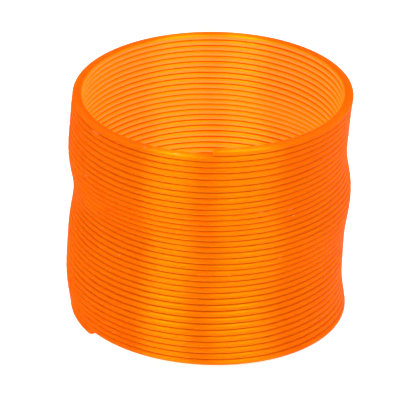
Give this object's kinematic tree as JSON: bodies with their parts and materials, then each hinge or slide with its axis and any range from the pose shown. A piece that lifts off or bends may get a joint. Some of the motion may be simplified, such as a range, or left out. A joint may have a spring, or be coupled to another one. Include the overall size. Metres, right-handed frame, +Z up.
{
  "type": "spring coil toy",
  "caption": "Translucent orange plastic coil spring toy standing closed on a desk; it draws out lengthwise and its upper half arches over.",
  "frame": {"origin": "on the table surface, under the middle of the closed stack of turns", "axes": "+Z up along the coil's axis; +X to the right seen from the front; -Y towards the front, where the upper end of the strand is"},
  "size_m": [0.0718, 0.0722, 0.0613],
  "materials": {
    "orange_plastic": "glossy, translucent neon orange"
  },
  "bodies": {
    "turn_01": {"coil_turn_01": "orange_plastic"},
    "turn_02": {"coil_turn_02": "orange_plastic"},
    "turn_03": {"coil_turn_03": "orange_plastic"},
    "turn_04": {"coil_turn_04": "orange_plastic"},
    "turn_05": {"coil_turn_05": "orange_plastic"},
    "turn_06": {"coil_turn_06": "orange_plastic"},
    "turn_07": {"coil_turn_07": "orange_plastic"},
    "turn_08": {"coil_turn_08": "orange_plastic"},
    "turn_09": {"coil_turn_09": "orange_plastic"},
    "turn_10": {"coil_turn_10": "orange_plastic"},
    "turn_11": {"coil_turn_11": "orange_plastic"},
    "turn_12": {"coil_turn_12": "orange_plastic"},
    "turn_13": {"coil_turn_13": "orange_plastic"},
    "turn_14": {"coil_turn_14": "orange_plastic"},
    "turn_15": {"coil_turn_15": "orange_plastic"},
    "turn_16": {"coil_turn_16": "orange_plastic"},
    "turn_17": {"coil_turn_17": "orange_plastic"},
    "turn_18": {"coil_turn_18": "orange_plastic"},
    "turn_19": {"coil_turn_19": "orange_plastic"},
    "turn_20": {"coil_turn_20": "orange_plastic"},
    "turn_21": {"coil_turn_21": "orange_plastic"},
    "turn_22": {"coil_turn_22": "orange_plastic"},
    "turn_23": {"coil_turn_23": "orange_plastic"},
    "turn_24": {"coil_turn_24": "orange_plastic"},
    "turn_25": {"coil_turn_25": "orange_plastic"},
    "turn_26": {"coil_turn_26": "orange_plastic"},
    "turn_27": {"coil_turn_27": "orange_plastic"},
    "turn_28": {"coil_turn_28": "orange_plastic"},
    "turn_29": {"coil_turn_29": "orange_plastic"},
    "turn_30": {"coil_turn_30": "orange_plastic"},
    "turn_31": {"coil_turn_31": "orange_plastic"},
    "turn_32": {"coil_turn_32": "orange_plastic"},
    "turn_33": {"coil_turn_33": "orange_plastic"},
    "turn_34": {"coil_turn_34": "orange_plastic"},
    "turn_35": {"coil_turn_35": "orange_plastic"},
    "turn_36": {"coil_turn_36": "orange_plastic"},
    "turn_37": {"coil_turn_37": "orange_plastic"}
  },
  "joints": [
    {"name": "stretch_02", "type": "slide", "parent": "turn_01", "child": "turn_02", "axis": [0, 0, 1], "range_m": [0, 0.025]},
    {"name": "stretch_03", "type": "slide", "parent": "turn_01", "child": "turn_03", "axis": [0, 0, 1], "range_m": [0, 0.05]},
    {"name": "stretch_04", "type": "slide", "parent": "turn_01", "child": "turn_04", "axis": [0, 0, 1], "range_m": [0, 0.075]},
    {"name": "stretch_05", "type": "slide", "parent": "turn_01", "child": "turn_05", "axis": [0, 0, 1], "range_m": [0, 0.1]},
    {"name": "stretch_06", "type": "slide", "parent": "turn_01", "child": "turn_06", "axis": [0, 0, 1], "range_m": [0, 0.125]},
    {"name": "stretch_07", "type": "slide", "parent": "turn_01", "child": "turn_07", "axis": [0, 0, 1], "range_m": [0, 0.15]},
    {"name": "stretch_08", "type": "slide", "parent": "turn_01", "child": "turn_08", "axis": [0, 0, 1], "range_m": [0, 0.175]},
    {"name": "stretch_09", "type": "slide", "parent": "turn_01", "child": "turn_09", "axis": [0, 0, 1], "range_m": [0, 0.2]},
    {"name": "stretch_10", "type": "slide", "parent": "turn_01", "child": "turn_10", "axis": [0, 0, 1], "range_m": [0, 0.225]},
    {"name": "stretch_11", "type": "slide", "parent": "turn_01", "child": "turn_11", "axis": [0, 0, 1], "range_m": [0, 0.25]},
    {"name": "stretch_12", "type": "slide", "parent": "turn_01", "child": "turn_12", "axis": [0, 0, 1], "range_m": [0, 0.275]},
    {"name": "stretch_13", "type": "slide", "parent": "turn_01", "child": "turn_13", "axis": [0, 0, 1], "range_m": [0, 0.3]},
    {"name": "stretch_14", "type": "slide", "parent": "turn_01", "child": "turn_14", "axis": [0, 0, 1], "range_m": [0, 0.325]},
    {"name": "stretch_15", "type": "slide", "parent": "turn_01", "child": "turn_15", "axis": [0, 0, 1], "range_m": [0, 0.35]},
    {"name": "stretch_16", "type": "slide", "parent": "turn_01", "child": "turn_16", "axis": [0, 0, 1], "range_m": [0, 0.375]},
    {"name": "stretch_17", "type": "slide", "parent": "turn_01", "child": "turn_17", "axis": [0, 0, 1], "range_m": [0, 0.4]},
    {"name": "stretch_18", "type": "slide", "parent": "turn_01", "child": "turn_18", "axis": [0, 0, 1], "range_m": [0, 0.425]},
    {"name": "stretch", "type": "slide", "parent": "turn_01", "child": "turn_19", "axis": [0, 0, 1], "range_m": [0, 0.45], "stiffness_N_per_m": 0.46},
    {"name": "arch_20", "type": "hinge", "parent": "turn_19", "child": "turn_20", "pos_m": [-0.044, 0, 0.0453], "axis": [0, -1, 0], "range_deg": [0, 9.72]},
    {"name": "arch_21", "type": "hinge", "parent": "turn_19", "child": "turn_21", "pos_m": [-0.044, 0, 0.0453], "axis": [0, -1, 0], "range_deg": [0, 19.44]},
    {"name": "arch_22", "type": "hinge", "parent": "turn_19", "child": "turn_22", "pos_m": [-0.044, 0, 0.0453], "axis": [0, -1, 0], "range_deg": [0, 29.17]},
    {"name": "arch_23", "type": "hinge", "parent": "turn_19", "child": "turn_23", "pos_m": [-0.044, 0, 0.0453], "axis": [0, -1, 0], "range_deg": [0, 38.89]},
    {"name": "arch_24", "type": "hinge", "parent": "turn_19", "child": "turn_24", "pos_m": [-0.044, 0, 0.0453], "axis": [0, -1, 0], "range_deg": [0, 48.61]},
    {"name": "arch_25", "type": "hinge", "parent": "turn_19", "child": "turn_25", "pos_m": [-0.044, 0, 0.0453], "axis": [0, -1, 0], "range_deg": [0, 58.33]},
    {"name": "arch_26", "type": "hinge", "parent": "turn_19", "child": "turn_26", "pos_m": [-0.044, 0, 0.0453], "axis": [0, -1, 0], "range_deg": [0, 68.06]},
    {"name": "arch_27", "type": "hinge", "parent": "turn_19", "child": "turn_27", "pos_m": [-0.044, 0, 0.0453], "axis": [0, -1, 0], "range_deg": [0, 77.78]},
    {"name": "arch_28", "type": "hinge", "parent": "turn_19", "child": "turn_28", "pos_m": [-0.044, 0, 0.0453], "axis": [0, -1, 0], "range_deg": [0, 87.5]},
    {"name": "arch_29", "type": "hinge", "parent": "turn_19", "child": "turn_29", "pos_m": [-0.044, 0, 0.0453], "axis": [0, -1, 0], "range_deg": [0, 97.22]},
    {"name": "arch_30", "type": "hinge", "parent": "turn_19", "child": "turn_30", "pos_m": [-0.044, 0, 0.0453], "axis": [0, -1, 0], "range_deg": [0, 106.94]},
    {"name": "arch_31", "type": "hinge", "parent": "turn_19", "child": "turn_31", "pos_m": [-0.044, 0, 0.0453], "axis": [0, -1, 0], "range_deg": [0, 116.67]},
    {"name": "arch_32", "type": "hinge", "parent": "turn_19", "child": "turn_32", "pos_m": [-0.044, 0, 0.0453], "axis": [0, -1, 0], "range_deg": [0, 126.39]},
    {"name": "arch_33", "type": "hinge", "parent": "turn_19", "child": "turn_33", "pos_m": [-0.044, 0, 0.0453], "axis": [0, -1, 0], "range_deg": [0, 136.11]},
    {"name": "arch_34", "type": "hinge", "parent": "turn_19", "child": "turn_34", "pos_m": [-0.044, 0, 0.0453], "axis": [0, -1, 0], "range_deg": [0, 145.83]},
    {"name": "arch_35", "type": "hinge", "parent": "turn_19", "child": "turn_35", "pos_m": [-0.044, 0, 0.0453], "axis": [0, -1, 0], "range_deg": [0, 155.56]},
    {"name": "arch_36", "type": "hinge", "parent": "turn_19", "child": "turn_36", "pos_m": [-0.044, 0, 0.0453], "axis": [0, -1, 0], "range_deg": [0, 165.28]},
    {"name": "arch", "type": "hinge", "parent": "turn_19", "child": "turn_37", "pos_m": [-0.044, 0, 0.0453], "axis": [0, -1, 0], "range_deg": [0, 175], "stiffness_Nm_per_rad": 0.0022}
  ],
  "couplings": [
    {"joint": "stretch_02", "follows": "stretch", "ratio": 0.055555},
    {"joint": "stretch_03", "follows": "stretch", "ratio": 0.11111},
    {"joint": "stretch_04", "follows": "stretch", "ratio": 0.16667},
    {"joint": "stretch_05", "follows": "stretch", "ratio": 0.22222},
    {"joint": "stretch_06", "follows": "stretch", "ratio": 0.27778},
    {"joint": "stretch_07", "follows": "stretch", "ratio": 0.33333},
    {"joint": "stretch_08", "follows": "stretch", "ratio": 0.38889},
    {"joint": "stretch_09", "follows": "stretch", "ratio": 0.44444},
    {"joint": "stretch_10", "follows": "stretch", "ratio": 0.5},
    {"joint": "stretch_11", "follows": "stretch", "ratio": 0.55556},
    {"joint": "stretch_12", "follows": "stretch", "ratio": 0.61111},
    {"joint": "stretch_13", "follows": "stretch", "ratio": 0.66667},
    {"joint": "stretch_14", "follows": "stretch", "ratio": 0.72222},
    {"joint": "stretch_15", "follows": "stretch", "ratio": 0.77778},
    {"joint": "stretch_16", "follows": "stretch", "ratio": 0.83333},
    {"joint": "stretch_17", "follows": "stretch", "ratio": 0.88889},
    {"joint": "stretch_18", "follows": "stretch", "ratio": 0.94444},
    {"joint": "arch_20", "follows": "arch", "ratio": 0.055555},
    {"joint": "arch_21", "follows": "arch", "ratio": 0.11111},
    {"joint": "arch_22", "follows": "arch", "ratio": 0.16667},
    {"joint": "arch_23", "follows": "arch", "ratio": 0.22222},
    {"joint": "arch_24", "follows": "arch", "ratio": 0.27778},
    {"joint": "arch_25", "follows": "arch", "ratio": 0.33333},
    {"joint": "arch_26", "follows": "arch", "ratio": 0.38889},
    {"joint": "arch_27", "follows": "arch", "ratio": 0.44444},
    {"joint": "arch_28", "follows": "arch", "ratio": 0.5},
    {"joint": "arch_29", "follows": "arch", "ratio": 0.55556},
    {"joint": "arch_30", "follows": "arch", "ratio": 0.61111},
    {"joint": "arch_31", "follows": "arch", "ratio": 0.66667},
    {"joint": "arch_32", "follows": "arch", "ratio": 0.72222},
    {"joint": "arch_33", "follows": "arch", "ratio": 0.77778},
    {"joint": "arch_34", "follows": "arch", "ratio": 0.83333},
    {"joint": "arch_35", "follows": "arch", "ratio": 0.88889},
    {"joint": "arch_36", "follows": "arch", "ratio": 0.94444}
  ]
}
